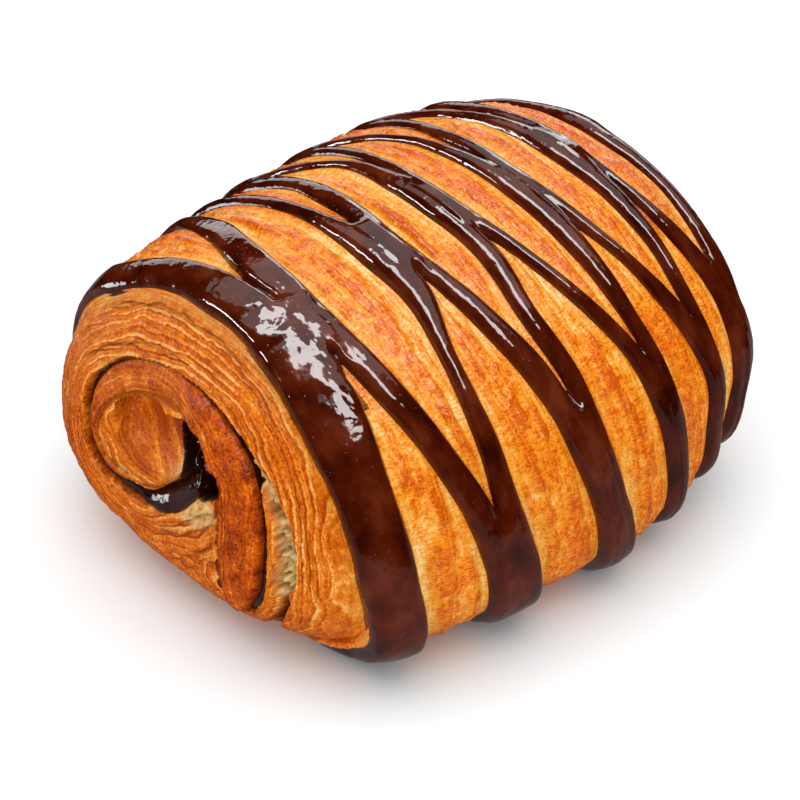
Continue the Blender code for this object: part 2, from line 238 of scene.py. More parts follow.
def smooth_between(places, values, place):
    """A smooth curve through the values at the given places, read at an array of places."""
    places, values = np.array(places, float), np.array(values, float)
    if places[0] > places[-1]:
        places, values = places[::-1], values[::-1]
    place = np.clip(place, places[0], places[-1])
    index = np.clip(np.searchsorted(places, place, side="right") - 1, 0, len(places) - 2)
    share = (place - places[index]) / (places[index + 1] - places[index])
    before, start = values[np.maximum(index - 1, 0)], values[index]
    end, after = values[index + 1], values[np.minimum(index + 2, len(values) - 1)]
    bend = 3 * start - before - 3 * end + after
    return start + share / 2 * (end - before + share * (2 * before - 5 * start + 4 * end - after
                                                        + share * bend))


def smooth_line(points, steps):
    """A smooth curve through points, with a column for each number that a point has."""
    places = np.arange(len(points))
    at = np.linspace(0, len(points) - 1, steps)
    return np.stack([smooth_between(places, column, at) for column in zip(*points)], 1)


def smooth_loop(points, steps):
    """A smooth closed curve through points in (y, z)."""
    return smooth_line(points + points[:1], steps)[:-1]


def line_distance(y, z, line):
    """The distance to a line of points, and how far along the line its nearest point is."""
    best = np.full(y.shape, 1e9)
    along = np.zeros(y.shape)
    for index in range(len(line) - 1):
        start, step = line[index], line[index + 1] - line[index]
        share = np.clip(((y - start[0]) * step[0] + (z - start[1]) * step[1]) / (step @ step), 0, 1)
        gap = np.hypot(y - start[0] - share * step[0], z - start[1] - share * step[1])
        nearer = gap < best
        best = np.where(nearer, gap, best)
        along = np.where(nearer, (index + share) / (len(line) - 1), along)
    return best, along


def inside(y, z, outline):
    """Which places lie inside a closed outline."""
    crossed = np.zeros(y.shape, bool)
    for start, end in zip(outline, np.roll(outline, -1, axis=0)):
        spans = (start[1] > z) != (end[1] > z)
        rise = end[1] - start[1] if end[1] != start[1] else 1e-9
        crossed ^= spans & (y < (end[0] - start[0]) * (z - start[1]) / rise + start[0])
    return crossed


def depth_inside(y, z, outline):
    """How far inside a closed outline each place is; negative outside."""
    gap, _ = line_distance(y, z, np.vstack([outline, outline[:1]]))
    return np.where(inside(y, z, outline), gap, -gap)


def girth_at(x):
    """Share of the full section that the roll keeps at x: it rounds off at both ends."""
    reach = np.clip(np.abs(x) / HALF, 0, 1)
    fall = np.where(x < 0, NEAR_END[0], FAR_END[0])
    bulge = np.where(x < 0, NEAR_END[1], FAR_END[1])
    return (1 - reach ** fall) ** (1 / bulge) * (1 + TAPER * x / LENGTH)


def section_sum(across, up, belly):
    """A sum of powers that is 1 on the roll's full section, and the power."""
    height = np.where(up >= 0, CREST_RISE, BELLY_DROP)
    power = np.where(up >= 0, CREST_POWER, belly)
    return np.abs(across / (WIDTH / 2)) ** power + np.abs(up / height) ** power, power


def section_radius(x, angle):
    """Distance from the roll's axis to its crust at full girth."""
    belly = BELLY_POWER + (END_BELLY_POWER - BELLY_POWER) * (np.abs(x) / HALF) ** 4
    total, power = section_sum(np.cos(angle), np.sin(angle), belly)
    turn = np.degrees((angle + math.pi) % (2 * math.pi) - math.pi)
    tuck = ease(16, -10, turn) * ease(-80, -45, turn) * ease(8, 34, x)
    return total ** (-1 / power) * (1 - FRONT_TUCK * tuck)


def skin(x, angle):
    """Points of the smooth crust."""
    radius = section_radius(x, angle) * girth_at(x)
    y, z = -radius * np.cos(angle), AXIS_HEIGHT + radius * np.sin(angle)
    return np.stack(np.broadcast_arrays(x, y, z), -1)


def skin_normals(x, angle):
    """Unit normals of the smooth crust."""
    step = 1e-3
    slope_x = skin(x + step, angle) - skin(x - step, angle)
    slope_a = skin(x, angle + step) - skin(x, angle - step)
    return unit(np.cross(slope_x, slope_a))


def end_reach(y, z, side):
    """How far along X the rounded end reaches at (y, z)."""
    fall, bulge = NEAR_END if side < 0 else FAR_END
    total, power = section_sum(y, z - AXIS_HEIGHT, END_BELLY_POWER)
    girth = np.clip(total ** (1 / power) / (1 + side * TAPER / 2), 0, 1)
    return side * HALF * (1 - girth ** bulge) ** (1 / fall)


def profile_lengths():
    """Places along X and the length of the roll's profile up to each."""
    share = np.linspace(-1, 1, 8001)
    places = np.sign(share) * (1 - (1 - np.abs(share)) ** 6) * HALF
    drop = np.diff(girth_at(places)) * WIDTH / 2
    return places, np.concatenate([[0], np.cumsum(np.hypot(np.diff(places), drop))])


def profile_stations(start, end, count):
    """Places along X from start to end, evenly spaced along the roll's profile."""
    places, lengths = profile_lengths()
    first, last = np.interp((start, end), places, lengths)
    return np.interp(np.linspace(first, last, count), lengths, places)


def side_angles():
    """The angles round the roll, in radians: close together over the crest, wide under the foot."""
    crest = np.linspace(FOOT_ANGLE, 180 - FOOT_ANGLE, CREST_SIDES, endpoint=False)
    foot = np.linspace(180 - FOOT_ANGLE, 360 + FOOT_ANGLE, FOOT_SIDES, endpoint=False)
    return np.radians(np.concatenate([crest, foot]))


def end_angles(ring):
    """The angles round an end: as round the side at its edge, even towards its middle."""
    sides = CREST_SIDES + FOOT_SIDES
    even = np.radians(FOOT_ANGLE) + np.arange(sides) * 2 * math.pi / sides
    share = ease(0.0, 0.35, ring)
    return side_angles()[None, :] * (1 - share) + even[None, :] * share


def billow(a, b, seed=0, sharpness=0.6):
    """Noise folded into round puffs with narrow creases between, from 0 in a crease to 1."""
    return np.abs(noise(a, b, 0.0, seed)) ** sharpness


def cracks(a, b, seed=0, width=0.07):
    """Narrow lines that wander where noise changes sign, from 0 off a line to 1 on it."""
    return np.exp(-(noise(a, b, 0.0, seed) / width) ** 2)


def unit(vectors):
    """Vectors scaled to a length of 1."""
    return vectors / np.maximum(np.linalg.norm(vectors, axis=-1, keepdims=True), 1e-9)


def outward(points):
    """Unit normals of a grid of points that closes round its second axis."""
    along = np.gradient(points, axis=0)
    around = np.roll(points, -1, axis=1) - np.roll(points, 1, axis=1)
    return unit(np.cross(around, along))


def stroke_lines(degrees):
    """Where each stroke's middle lies along the roll at each angle, and half its width there."""
    along = np.radians(degrees) * GIRTH_RADIUS
    lines = []
    for index, edges in enumerate(STROKES):
        left, right = (smooth_between(STATIONS, places, degrees)
                       + 0.22 * noise(along * 0.13, index * spread, seed=seed)
                       for places, spread, seed in zip(edges, (7.3, 3.7), (51, 52)))
        lines.append(((left + right) / 2, (right - left) / 2))
    return lines


def stroke_gap(x, degrees):
    """How far each place on the crust is from the nearest stroke's edge."""
    gaps = [np.abs(x - centre) - half for centre, half in stroke_lines(degrees)]
    beyond = np.maximum(STROKE_ENDS[0] - degrees, degrees - STROKE_ENDS[1])
    return np.maximum(np.min(gaps, axis=0), np.radians(beyond) * GIRTH_RADIUS)


def crust_ridges(place, along, x, degrees):
    """Height and tone of the puffed layers, by place across and along them."""
    place = place + 1.3 * noise(place * 0.07, along * 0.04, seed=1)
    place = place + 0.25 * noise(place * 0.5, along * 0.2, seed=7)
    broad = billow(place * 0.24, along * 0.016, seed=2) - 0.5
    leaf = billow(place * 0.62, along * 0.035, seed=3) - 0.5
    hair = billow(place * 1.5, along * 0.10, seed=4) - 0.5
    folds = noise(place * 0.50 + along * 0.25, along * 0.45 - place * 0.22, seed=5)
    warp = 0.5 * noise(place * 0.6, along * 0.6, seed=10)
    cells = billow(place * 0.80 + along * 0.45 + warp, along * 0.72 - place * 0.45 - warp,
                   seed=6, sharpness=0.8) - 0.5
    knots = billow(place * 1.5 - along * 0.9 + warp, along * 1.5 + place * 0.9 + warp,
                   seed=11, sharpness=0.8) - 0.5
    seams = cracks(place * 0.33, along * 0.014, seed=8) + 0.6 * cracks(place * 0.8, along * 0.03, seed=9)
    gap = stroke_gap(x, degrees)
    border = np.exp(-((gap - 0.8) / 0.75) ** 2)
    inner = ease(0.8, 2.2, gap)
    height = 0.65 * broad + 0.50 * leaf + 0.20 * hair + 0.25 * border - 0.22 * seams
    height += inner * (0.18 * folds + 0.40 * cells + 0.13 * knots)
    height = height * (0.2 + 0.8 * ease(-0.2, 1.4, gap))
    tone = 0.5 * broad + 0.6 * leaf + 0.4 * hair + 0.34 * border - 0.55 * seams
    tone += inner * (0.30 * folds + 0.8 * cells + 0.55 * knots - 0.12)
    return height, tone


def shingles(phase, along, seed):
    """Height and tone of overlapping sheets, each rising to a pale edge, with shade painted dark at the
    foot of the next.
    """
    index = np.floor(phase)
    share = phase - index
    strength = np.clip(0.62 + 0.75 * noise(index * 1.7, along * 0.07, seed=seed), 0.08, 1.1)
    height = strength * (share ** 1.6 - 0.45)
    # The dark tone at the foot of each sheet is painted shade
    tone = strength * (1.15 * ease(0.50, 0.92, share) - 0.85 * ease(0.28, 0.04, share))
    return height, tone


def filling_gap(y, z):
    """How far each place is from the edge of the chocolate on an end face, and its half width."""
    gap, wide = np.full(y.shape, 1e9), np.zeros(y.shape)
    for middle_y, middle_z, half in smooth_line(FILLING_LINE, 150):
        here = np.hypot(y - middle_y, z - middle_z) - half
        wide = np.where(here < gap, half, wide)
        gap = np.minimum(gap, here)
    return gap, wide


def funnel_share(y, z):
    """How far towards the eye of the core each place is, over nested off-centre ovals."""
    across, up = ((place - eye) / reach
                  for place, eye, reach in zip((y, z), FUNNEL_EYE, FUNNEL_REACH))
    lean = [(middle - eye) / reach
            for middle, eye, reach in zip(FUNNEL_MIDDLE, FUNNEL_EYE, FUNNEL_REACH)]
    along = across * lean[0] + up * lean[1]
    rest = 1 - lean[0] ** 2 - lean[1] ** 2
    oval = (np.sqrt(along ** 2 + rest * (across ** 2 + up ** 2)) - along) / rest
    return 1 - np.clip(oval, 0, 1)


def end_regions(y, z):
    """What an end face shows at (y, z): how much of each region, and the distance to its lines."""
    seam, lip = smooth_line(SEAM, 120), smooth_line(LIP, 120)
    wander = 0.22 * noise(y * 0.7, z * 0.7, seed=30)
    teeth = 0.13 * noise(y * 1.5, z * 4.2, seed=31)
    seam_gap, lip_gap, torn_gap, notch_gap = (
        line_distance(y, z, line)[0]
        for line in (seam, lip, smooth_line(TORN_LIP, 50), smooth_line(NOTCH, 30)))
    fill_gap, fill_half = filling_gap(y, z)
    band_depth = depth_inside(y, z, np.vstack([seam[:106], lip]))
    core_depth = depth_inside(y, z, smooth_loop(CORE, 90))
    hole_depth = depth_inside(y, z, smooth_loop(HOLE, 70)) + 0.4 * wander + teeth
    gap_depth = depth_inside(y, z, smooth_loop(CREVICE, 90)) + 1.3 * wander

    funnel = funnel_share(y, z) + 0.03 * noise(y * 0.4, z * 0.4, seed=33)
    funnel += 0.2 * ease(9.0, 2.0, y) * ease(29.0, 34.0, z)
    funnel = funnel * ease(-0.1, 0.6, core_depth)
    fold, fold_shade = fold_relief(y, z)
    return SimpleNamespace(
        band=ease(-0.15, 0.25, band_depth),
        core=ease(-0.15, 0.25, core_depth),
        funnel=funnel,
        cup=ease(0.225, 0.25, funnel),
        hole=ease(-0.10, 0.35, hole_depth),
        crevice=ease(-0.1, 0.5, gap_depth),
        groove=ease(0.30, -0.15, fill_gap + 0.25 * wander),
        notch=ease(0.9, 0.3, notch_gap),
        right=ease(3.0, -9.0, y),
        honeycomb=billow(y, z, seed=34) + 0.7 * billow(y * 2.1, z * 2.1, seed=35),
        fold=fold, fold_shade=fold_shade, fill_half=fill_half,
        seam_gap=seam_gap, lip_gap=lip_gap, torn_gap=torn_gap, hole_depth=hole_depth)


def end_depth(y, z, seen):
    """How deep an end face lies under the rounded end."""
    across = seen.seam_gap / np.maximum(seen.seam_gap + seen.lip_gap, 1e-6)
    pillow = np.sqrt(np.clip(1 - (2 * across - 1) ** 2, 0, 1))
    depth = seen.band * (0.75 * (1 - seen.right) + 0.35 - pillow * (0.5 + 0.6 * seen.right))
    depth += seen.core * 0.45
    flap = ease(24.0, 31.0, z) * 0.6 + 0.25
    torn = ease(4.5, 1.2, seen.torn_gap)
    depth += seen.cup * flap + 3.2 * ease(0.15, 0.95, seen.funnel)
    depth += seen.cup * torn * 0.3
    depth -= 0.15 * ease(1.0, 0.1, seen.torn_gap) * (1 - seen.cup)
    depth += 8.0 * seen.hole * (1 - 0.25 * seen.cup)
    depth += seen.fold * (1 - seen.cup) * (1 - seen.hole)
    for middle_y, middle_z, size in BLISTERS:
        share = np.hypot(y - middle_y, z - middle_z) / size
        dome = ease(1.3, 0.7, share) - 0.5 * ease(0.6, 0.0, share)
        depth -= 0.35 * size * dome
    open_gap = seen.crevice * (0.35 + 0.65 * ease(36.0, 31.0, z))
    depth += open_gap * (3.9 - 2.2 * seen.honeycomb)
    depth += (2.0 + 1.6 * ease(0.6, 1.5, seen.fill_half)) * seen.groove
    return depth + 3.0 * seen.notch


def fold_relief(y, z):
    """Steps where one sheet of dough overlaps the next, and where shade is painted under each step."""
    drop = np.zeros(y.shape)
    fold_shade = np.zeros(y.shape)
    for index, (points, fall) in enumerate(zip(FOLDS, FOLD_DROPS)):
        line = smooth_line(points, 60)
        shaken_y = y + 0.35 * noise(y * 0.5, z * 0.5, index * 3.1, seed=71)
        shaken_z = z + 0.35 * noise(y * 0.5, z * 0.5, index * 3.1, seed=72)
        gap, share = line_distance(shaken_y, shaken_z, line)
        spine = (share * (len(line) - 1)).astype(int)
        here, step = line[spine], np.gradient(line, axis=0)[spine]
        under = step[..., 0] * (shaken_z - here[..., 1]) - step[..., 1] * (shaken_y - here[..., 0]) > 0
        fade = ease(0.0, 0.12, share) * ease(1.0, 0.88, share)
        fade = fade * (0.65 + 0.35 * noise(share * 9, index * 2.0, seed=73))
        drop += fall * fade * np.where(under, ease(2.4, 0.0, gap), 0)
        drop -= 0.35 * fall * fade * np.where(under, 0, ease(1.5, 0.0, gap))
        # Painted shade under each step
        fold_shade = np.maximum(fold_shade, fade * np.where(under, ease(0.55, 0.1, gap), 0))
    return drop, fold_shade


def grid_faces(rings, sides):
    """The four-sided faces of a grid that closes round its second axis."""
    ring, side = np.meshgrid(np.arange(rings - 1), np.arange(sides), indexing="ij")
    after = (side + 1) % sides
    low, high = ring * sides, (ring + 1) * sides
    return np.stack([low + side, low + after, high + after, high + side], -1).reshape(-1, 4)


def new_object(name, data):
    """An object in the scene for a mesh, a lamp or a camera."""
    item = bpy.data.objects.new(name, data)
    bpy.context.scene.collection.objects.link(item)
    return item


def tube_faces(rows, count):
    """The faces of a grid that closes round its second axis, with one over each end."""
    caps = [tuple(range(count))[::-1], tuple(range((rows - 1) * count, rows * count))]
    return list(grid_faces(rows, count)) + caps


def make_mesh(name, points, faces, masks, material):
    """A smooth-shaded mesh object from points in millimetres, with values for its material."""
    mesh = bpy.data.meshes.new(name)
    mesh.from_pydata((points * MM).tolist(), [], [tuple(face) for face in faces])
    for key, values in masks.items():
        values = np.asarray(values, np.float32)
        kind, field = ("FLOAT_VECTOR", "vector") if values.ndim == 2 else ("FLOAT", "value")
        mesh.attributes.new(key, kind, "POINT").data.foreach_set(field, values.ravel())
    mesh.polygons.foreach_set("use_smooth", [True] * len(mesh.polygons))
    mesh.materials.append(material)
    return new_object(name, mesh)


def crust_masks(flow, tone, toast=0.0, crumb=0.0, shade=0.0):
    """The values that the crust's material reads at each point of a grid."""
    masks = {"tone": tone, "toast": toast, "crumb": crumb, "shade": shade}
    masks = {key: np.broadcast_to(values, tone.shape).ravel() for key, values in masks.items()}
    return {"flow": flow.reshape(-1, 3), **masks}


def make_capped(name, points, turned, masks, material):
    """A mesh from a grid of points whose last ring is drawn together into one point."""
    rings, sides = points.shape[:2]
    faces = grid_faces(rings, sides)
    points = points.reshape(-1, 3)
    pole = (rings - 1) * sides
    points[pole] = points[pole:].mean(axis=0)
    fan = [(face[0], face[1], pole) for face in faces[-sides:]]
    faces = [tuple(face) for face in faces[:-sides]] + fan
    if turned:
        faces = [face[::-1] for face in faces]
    masks = {key: values[:pole + 1] for key, values in masks.items()}
    return make_mesh(name, points[:pole + 1], faces, masks, material)


def far_shift(x, degrees):
    """How far the far end's seam moves along the roll to stay under the last stroke."""
    centre = stroke_lines(np.clip(degrees, *STROKE_ENDS))[-1][0]
    near_join = ease(JOIN_FAR - 12, JOIN_FAR, x) * ease(44.5, JOIN_FAR, x)
    return (centre - JOIN_FAR) * near_join


def make_side(material):
    """The crust round the roll, between both ends."""
    x = profile_stations(JOIN_NEAR, JOIN_FAR, SIDE_RINGS)[:, None]
    angle = side_angles()[None, :]
    degrees = np.degrees(angle)
    x = x + far_shift(x, degrees)
    points = skin(x, angle)
    along = np.broadcast_to(angle * GIRTH_RADIUS, points.shape[:2])
    drift = 6.0 * ease(50, -40, degrees) * ease(-38, -10, x)
    place = x - drift
    height, tone = crust_ridges(place, along, x, degrees)
    points = points + outward(points) * height[..., None]
    points[..., 2] = np.maximum(points[..., 2], 0.0)
    flow = np.stack([place, along, np.zeros_like(place)], -1)
    faces = grid_faces(SIDE_RINGS, points.shape[1])
    return make_mesh("crust", points.reshape(-1, 3), faces, crust_masks(flow, tone), material)


def end_grid(edge, side, rings):
    """A grid over a smooth end: along and round the roll, share on the face, and points."""
    x = profile_stations(edge, side * HALF, rings)[:, None]
    angle = end_angles(np.linspace(0, 1, rings)[:, None])
    if side > 0:
        x = x + far_shift(x, np.degrees(angle))
    girth = girth_at(x)
    shift = np.clip(1 - girth / FACE_GIRTH, 0, 1)
    radius = section_radius(x, angle) * girth
    y = -radius * np.cos(angle) + shift * SWIRL_CENTRE[0]
    z = AXIS_HEIGHT + radius * np.sin(angle) + shift * (SWIRL_CENTRE[1] - AXIS_HEIGHT)
    z = np.maximum(z, 0.0)
    face = ease(0.0, 0.04, shift)
    reach = np.broadcast_to(x, y.shape) * (1 - face) + end_reach(y, z, side) * face
    on_face = ease(0.0, 0.12, shift)
    return np.broadcast_to(x, y.shape), angle, on_face, np.stack([reach, y, z], -1)


def wrap_layer(x, edge, on_face, seam_gap):
    """How far in from the crust's edge each place of an end is, and how deep in the outer wrap."""
    places, lengths = profile_lengths()
    rim_gap = np.abs(np.interp(x, places, lengths) - np.interp(edge, places, lengths))
    layer = WRAP_THICKNESS * rim_gap / np.maximum(rim_gap + seam_gap, 1e-6)
    return rim_gap, layer * on_face + rim_gap * (1 - on_face)


def wrap_relief(y, z, rim_gap, layer, on_face, seen):
    """Height and tone of the sheets in the outer wrap of an end."""
    bend = noise(y * 0.10, z * 0.10, seed=43) + 0.45 * noise(y * 0.25, z * 0.25, seed=39)
    bend += 0.12 * noise(y * 0.8, z * 0.8, seed=40)
    path = y * 1.3 + z
    sheet_height, sheet_tone = shingles(layer * 1.15 + bend, path * 1.6, 41)
    fine_height, fine_tone = shingles(layer * 2.6 + bend * 2, path * 2.4, 42)
    rim_line = ease(0.3, 0.7, rim_gap) * ease(2.6, 2.1, rim_gap)
    # Two grooves round the wrap, painted dark as shade
    painted_shade_groove = np.exp(-((rim_gap - 2.9 - 0.3 * bend) / 0.3) ** 2)
    painted_shade_groove += 0.7 * np.exp(-((rim_gap - 5.8 - 0.4 * bend) / 0.3) ** 2)
    wrap = on_face * (1 - seen.band) * (1 - seen.core) * (1 - seen.crevice)
    flecks = billow(y * 0.9 + z * 0.5, z * 0.9 - y * 0.5, seed=58, sharpness=0.8) - 0.5
    ragged = wrap * ease(34.0, 38.0, z) * ease(-6.0, 2.0, y)
    height = wrap * (0.42 * sheet_height + 0.16 * fine_height - 0.25 * painted_shade_groove)
    height += 0.35 * ragged * flecks + 0.15 * wrap * flecks
    tone = wrap * (1.25 * sheet_tone + 0.65 * fine_tone)
    tone += wrap * (0.55 * rim_line - 0.75 * painted_shade_groove + 0.5 * flecks * (0.5 + ragged))
    return height, tone


def bowl_sweep(y, z):
    """The distance from the place that the arcs in the core's bowl run round."""
    return np.hypot(y + 2.0, (z - 34.0) * 0.9)


def core_relief(y, z, seen):
    """Height and tone of the band round the core, of the core's rim and of its bowl."""
    path = y * 1.3 + z
    lumps = noise(y * 0.5, z * 0.5, seed=46)
    pits = billow(y * 1.1, z * 1.1, seed=47) - 0.5
    inner_phase = seen.lip_gap * 1.1 + 0.5 * noise(y * 0.2, z * 0.2, seed=44)
    inner_height, inner_tone = shingles(-inner_phase, path * 2, 45)
    near_lip = ease(4.5, 1.5, seen.lip_gap) * 0.8 + 0.2
    band = seen.band * (1 - seen.cup)
    height = band * (0.34 * inner_height * near_lip + 0.20 * lumps + 0.14 * pits)
    tone = band * (inner_tone * near_lip + 0.45 * lumps + 0.60 * pits - 0.1)
    rim = seen.core * (1 - 0.75 * ease(0.25, 0.42, seen.funnel)) * (1 - seen.hole)
    rim_phase = seen.funnel * 11 + 0.6 * noise(y * 0.3, z * 0.3, seed=48)
    rim_height, rim_tone = shingles(rim_phase, path * 3, 49)
    height += rim * 0.24 * rim_height
    tone += rim * 1.1 * rim_tone
    swing = 0.6 * noise(y * 0.15, z * 0.15, seed=50)
    arcs = noise(bowl_sweep(y, z) * 0.9 + swing, 0.5, seed=57)
    bowl_share = ease(0.25, 0.40, seen.funnel)
    height += seen.cup * bowl_share * 0.18 * arcs
    # Painted shade darkens the bowl's top under the lip, and painted light (glow) brightens its lower
    # part
    shade_under_lip = ease(27.5, 34.0, z) * ease(12.0, 2.0, y)
    glow = ease(31.0, 24.0, z) * ease(9.0, 0.0, y)
    tone += seen.cup * (arcs * bowl_share - 0.8 * shade_under_lip + glow - 0.50)
    tone += 0.5 * ease(0.75, 0.15, seen.torn_gap) * (1 - seen.cup)
    return height, tone


def end_flow(place, along, y, z, on_face, seen):
    """Coordinates along which the material's streaks run: across the layers, and along them."""
    middle = ease(0.22, 0.40, seen.funnel)
    band = seen.band * (1 - seen.core)
    across = place * (1 - band - seen.core) + 1.2 * seen.lip_gap * band
    across += seen.core * (14 * seen.funnel * (1 - middle) + bowl_sweep(y, z) * middle)
    return np.stack([across, along * (1 - on_face) + y * on_face, z * on_face], -1)


def end_finish(y, z, on_face, seen):
    """How toasted and how pale an end is, and where shade is painted on it."""
    # The face is browner towards its lower left and its bottom
    low_left = ease(8.0, 22.0, y) * ease(36.0, 22.0, z)
    toast = on_face * (0.56 + 0.18 * np.maximum(low_left, ease(16.0, 9.0, z)))
    toast += seen.band * (0.22 + 0.50 * seen.right)
    pale = seen.core * ease(3.0, -1.5, y) * ease(33.0, 28.0, z) * 0.5
    flakes = np.hypot((y + 5.8) * 0.78 - (z - 22.4) * 0.62,
                      1.9 * ((y + 5.8) * 0.62 + (z - 22.4) * 0.78))
    pale = np.maximum(pale, 0.75 * ease(5.6, 3.0, flakes) * (1 - seen.band))
    # Painted shade: the seam's groove (also dark as the chocolate there), the hole's rim and walls,
    # under the folds, the notch and the crumb's holes
    shade = seen.groove + ease(-0.35, -0.05, seen.hole_depth) + 0.55 * seen.fold_shade
    shade += 0.9 * seen.notch
    shade += 0.75 * seen.crevice * ease(0.80, 0.52, seen.honeycomb)
    return toast, np.maximum(seen.crevice, pale), np.clip(shade, 0, 1)


def make_end(name, side, rings, material):
    """One layered spiral end, from the crust's edge to the middle of the swirl."""
    edge = JOIN_NEAR if side < 0 else JOIN_FAR
    x, angle, on_face, smooth = end_grid(edge, side, rings)
    y, z = smooth[..., 1], smooth[..., 2]
    seen = end_regions(y, z)
    rim_gap, layer = wrap_layer(x, edge, on_face, seen.seam_gap)
    place = edge + side * layer
    along = angle * GIRTH_RADIUS
    crust = crust_ridges(place, along, x, np.degrees(angle))
    sheets = wrap_relief(y, z, rim_gap, layer, on_face, seen)
    calm = 1 - np.clip(seen.band * 0.85 + seen.core * 0.95, 0, 0.97)
    height, tone = ((outer * (1 - 0.85 * on_face) + sheet) * calm + inner
                    for outer, sheet, inner in zip(crust, sheets, core_relief(y, z, seen)))
    points = smooth + outward(smooth) * side * height[..., None]
    sink = end_depth(y, z, seen) - 0.6 * on_face * ease(12.0, 24.0, y)
    points[..., 0] -= side * sink
    points[..., 2] = np.maximum(points[..., 2], 0.0)
    masks = crust_masks(end_flow(place, along, y, z, on_face, seen), tone - 0.22 * on_face,
                        *end_finish(y, z, on_face, seen))
    return make_capped(name, points, side < 0, masks, material)


def stroke_height(x, degrees, foot):
    """Height of the chocolate over the smooth crust, from how high the crust is over the table."""
    along = np.radians(degrees) * GIRTH_RADIUS
    total = np.zeros(np.broadcast(x, degrees).shape)
    ends = ease(1.2, 0.1, foot)
    lines = stroke_lines(degrees)
    for centre, half in lines:
        total += np.exp(np.clip(half - np.abs(x - centre), -3, 4) / BLEND)
    depth = BLEND * np.log(total + 1e-12)
    body = np.max([np.where(np.abs(x - centre) < half + 1, half, 0.8) for centre, half in lines], axis=0)
    for (centre, half), (beyond, width) in zip(lines, lines[1:]):
        overlap = centre + half - beyond + width
        low, high = centre - half, beyond + width
        joined = np.minimum(x - low, high - x)
        share = ease(0.0, 1.3, overlap) * (joined > depth)
        depth += share * (joined - depth)
        body = np.where(joined > 0, body + share * (np.minimum(high - low, 7.0) / 2 - body), body)
    shoulder = np.minimum(body, STROKE_SHOULDER)
    share = 1 - np.minimum(depth, shoulder) / shoulder
    edge = 1 - share ** 6
    thick = STROKE_HEIGHT * (0.60 + 0.14 * np.minimum(body, 3.0))
    rim = 0.22 * ease(2.0, 3.2, body) * np.exp(-((depth - 0.9) / 0.5) ** 2)
    height = thick * (0.5 * np.sign(edge) * np.abs(edge) ** 0.5 + 0.5 * (1 - share ** 2))
    height = height - 3.0 * ends + rim
    middle = 1 - np.clip(depth / body, 0, 1)
    height += 0.13 * body * (1 - middle ** 2) * ease(2.0, 3.0, body)
    height = np.where(height > 0, height * (1 - 0.35 * ease(85, 120, degrees)), height)
    pool = ease(9.5, 3, np.hypot(x + 32.0, (along - math.radians(66) * GIRTH_RADIUS) * 0.5))
    waves = 0.22 * noise(x * 0.55, along * 0.42, seed=53)
    waves = (waves + 0.13 * noise(x * 1.1, along * 0.9, seed=56)) * pool
    ripple = 0.08 * noise(x * 0.35, along * 0.14, seed=54) + 0.035 * noise(x * 0.9, along * 0.9, seed=55)
    return height + (waves + ripple) * ease(-0.2, 0.7, height)


def stroke_columns(degrees):
    """Places along the roll that follow every stroke's edges, for a grid over the strokes."""
    lines = stroke_lines(degrees)
    columns = []
    for index, (centre, half) in enumerate(lines):
        sides = []
        for step in (-1, 1):
            if 0 <= index + step < len(lines):
                room = np.abs(lines[index + step][0] - centre) / 2
            else:
                room = half * 1.6
            share = np.minimum(1, 0.94 * room / (half * EDGE_STEPS[-1]))
            offsets = np.array(EDGE_STEPS)[:, None] * half * share
            sides.append(centre + step * offsets)
        columns += [sides[0][::-1], centre[None, :], sides[1]]
    return np.concatenate(columns)


def corners(grid):
    """The values at the four corners of each cell of a grid."""
    return np.stack([grid[:-1, :-1], grid[:-1, 1:], grid[1:, 1:], grid[1:, :-1]], -1)


def make_drizzle(material):
    """The chocolate zigzag, a closed skin that sinks into the crust along its edges."""
    angles = np.linspace(*STROKE_GRID, STROKE_ROWS)
    x = stroke_columns(angles)
    degrees = np.broadcast_to(angles, x.shape)
    angle = np.radians(degrees)
    base, normals = skin(x, angle), skin_normals(x, angle)
    height = np.minimum(stroke_height(x, degrees, base[..., 2]), STROKE_TOP)
    top = base + normals * np.maximum(height, STROKE_FLOOR)[..., None]
    root = base + normals * STROKE_ROOT
    for grid in (top, root):
        grid[..., 2] = np.maximum(grid[..., 2], TABLE_GAP)
    rows, columns = base.shape[:2]
    shift = rows * columns
    index = np.arange(shift).reshape(rows, columns)
    quads = corners(index)[corners(height).max(axis=-1) > STROKE_FLOOR]
    edges = np.concatenate([quads[:, [i, (i + 1) % 4]] for i in range(4)])
    keys = np.sort(edges, axis=1)
    _, first, counts = np.unique(keys[:, 0] * shift + keys[:, 1],
                                 return_index=True, return_counts=True)
    rim = edges[first[counts == 1]]
    walls = np.stack([rim[:, 1], rim[:, 0], rim[:, 0] + shift, rim[:, 1] + shift], -1)
    faces = np.concatenate([quads, quads[:, ::-1] + shift, walls])
    points = np.concatenate([top.reshape(-1, 3), root.reshape(-1, 3)])
    used = np.unique(faces)
    place = np.zeros(len(points), int)
    place[used] = np.arange(len(used))
    flow = np.stack([x, angle * GIRTH_RADIUS, height], -1).reshape(-1, 3)
    flow = np.concatenate([flow, flow])[used]
    return make_mesh("drizzle", points[used], place[faces][:, ::-1], {"flow": flow}, material)


